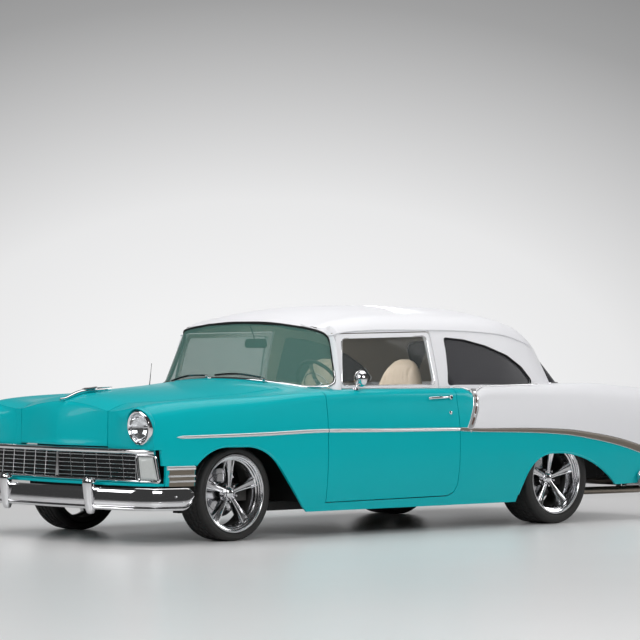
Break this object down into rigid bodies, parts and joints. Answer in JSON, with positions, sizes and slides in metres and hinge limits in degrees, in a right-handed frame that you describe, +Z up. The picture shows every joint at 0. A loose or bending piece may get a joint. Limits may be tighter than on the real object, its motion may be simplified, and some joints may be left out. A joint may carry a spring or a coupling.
{
  "type": "two-door sedan car of the mid 1950s",
  "caption": "Lowered two-tone 1950s two-door sedan with opening doors, hood and trunk lid, steered front wheels and freely turning wheels.",
  "frame": {"origin": "on the ground under the middle of the car", "axes": "+Z up, the front faces -Y, +X is the car's left side"},
  "size_m": [1.885, 5.017, 1.486],
  "materials": {
    "turquoise_paint": "gloss",
    "white_paint": "gloss",
    "bright_chrome": "polished",
    "polished_alloy": "polished",
    "tyre_rubber": "matt",
    "clear_glass": "clear",
    "dark_glass": "tinted",
    "lamp_glass": "clear",
    "red_lens": "gloss",
    "chassis_black": "satin",
    "cast_block": "rough",
    "exhaust_steel": "brushed",
    "radiator_core": "satin",
    "tan_leather": "satin",
    "dash_plastic": "satin"
  },
  "bodies": {
    "body": {"frame": "chassis_black", "floor_pan": "chassis_black", "engine": "cast_block", "radiator": "radiator_core", "exhaust": "exhaust_steel", "rear_axle": "chassis_black", "front_fender_left": "turquoise_paint", "front_fender_right": "turquoise_paint", "cowl": "turquoise_paint", "body_side_left": "turquoise_paint", "body_side_right": "turquoise_paint", "rear_deck": "white_paint", "tail_panel": "white_paint", "roof": "white_paint", "windscreen": "clear_glass", "rear_window": "dark_glass", "quarter_glass": "dark_glass", "grille": "bright_chrome", "front_apron": "turquoise_paint", "headlamps": "bright_chrome", "tail_lamps": "red_lens", "front_bumper": "bright_chrome", "rear_bumper": "bright_chrome", "dashboard": "dash_plastic", "front_seats": "tan_leather", "rear_seat": "tan_leather"},
    "hood": {"hood": "turquoise_paint"},
    "trunk_lid": {"trunk_lid": "white_paint"},
    "door_left": {"door_shell_left": "turquoise_paint", "door_frame_left": "white_paint", "door_glass_left": "clear_glass", "door_mirror": "bright_chrome"},
    "door_right": {"door_shell_right": "turquoise_paint", "door_frame_right": "white_paint", "door_glass_right": "clear_glass"},
    "steering_wheel": {"steering_wheel": "dash_plastic"},
    "knuckle_left": {"knuckle_left": "cast_block"},
    "knuckle_right": {"knuckle_right": "cast_block"},
    "wheel_front_left": {"front_rim_left": "polished_alloy", "front_tyre_left": "tyre_rubber"},
    "wheel_front_right": {"front_rim_right": "polished_alloy", "front_tyre_right": "tyre_rubber"},
    "wheel_rear_left": {"rear_rim_left": "polished_alloy", "rear_tyre_left": "tyre_rubber"},
    "wheel_rear_right": {"rear_rim_right": "polished_alloy", "rear_tyre_right": "tyre_rubber"}
  },
  "joints": [
    {"name": "hood_hinge", "type": "hinge", "parent": "body", "child": "hood", "pos_m": [0, -1.116, 0.981], "axis": [-1, 0, 0], "range_deg": [0, 50]},
    {"name": "trunk_hinge", "type": "hinge", "parent": "body", "child": "trunk_lid", "pos_m": [0, 1.896, 0.947], "axis": [1, 0, 0], "range_deg": [0, 70]},
    {"name": "door_left_hinge", "type": "hinge", "parent": "body", "child": "door_left", "pos_m": [0.94, -0.957, 0.6], "axis": [0, 0, -1], "range_deg": [0, 65]},
    {"name": "door_right_hinge", "type": "hinge", "parent": "body", "child": "door_right", "pos_m": [-0.94, -0.957, 0.6], "axis": [0, 0, 1], "range_deg": [0, 65]},
    {"name": "steer_left", "type": "hinge", "parent": "body", "child": "knuckle_left", "pos_m": [0.645, -1.658, 0.294], "axis": [0, 0, 1], "range_deg": [-30, 30]},
    {"name": "steer_right", "type": "hinge", "parent": "body", "child": "knuckle_right", "pos_m": [-0.645, -1.658, 0.294], "axis": [0, 0, 1], "range_deg": [-30.5, 30.5]},
    {"name": "steering_column", "type": "hinge", "parent": "body", "child": "steering_wheel", "pos_m": [0.375, -0.5, 0.935], "axis": [0, 0.8829, 0.4695], "range_deg": [-490, 490]},
    {"name": "wheel_front_left_spin", "type": "hinge", "parent": "knuckle_left", "child": "wheel_front_left", "pos_m": [0.7365, -1.658, 0.294], "axis": [1, 0, 0], "continuous": true},
    {"name": "wheel_front_right_spin", "type": "hinge", "parent": "knuckle_right", "child": "wheel_front_right", "pos_m": [-0.7365, -1.658, 0.294], "axis": [1, 0, 0], "continuous": true},
    {"name": "wheel_rear_left_spin", "type": "hinge", "parent": "body", "child": "wheel_rear_left", "pos_m": [0.747, 1.263, 0.31], "axis": [1, 0, 0], "continuous": true},
    {"name": "wheel_rear_right_spin", "type": "hinge", "parent": "body", "child": "wheel_rear_right", "pos_m": [-0.747, 1.263, 0.31], "axis": [1, 0, 0], "continuous": true}
  ],
  "couplings": [
    {"joint": "steer_right", "follows": "steer_left", "ratio": 1},
    {"joint": "steering_column", "follows": "steer_left", "ratio": 16}
  ]
}
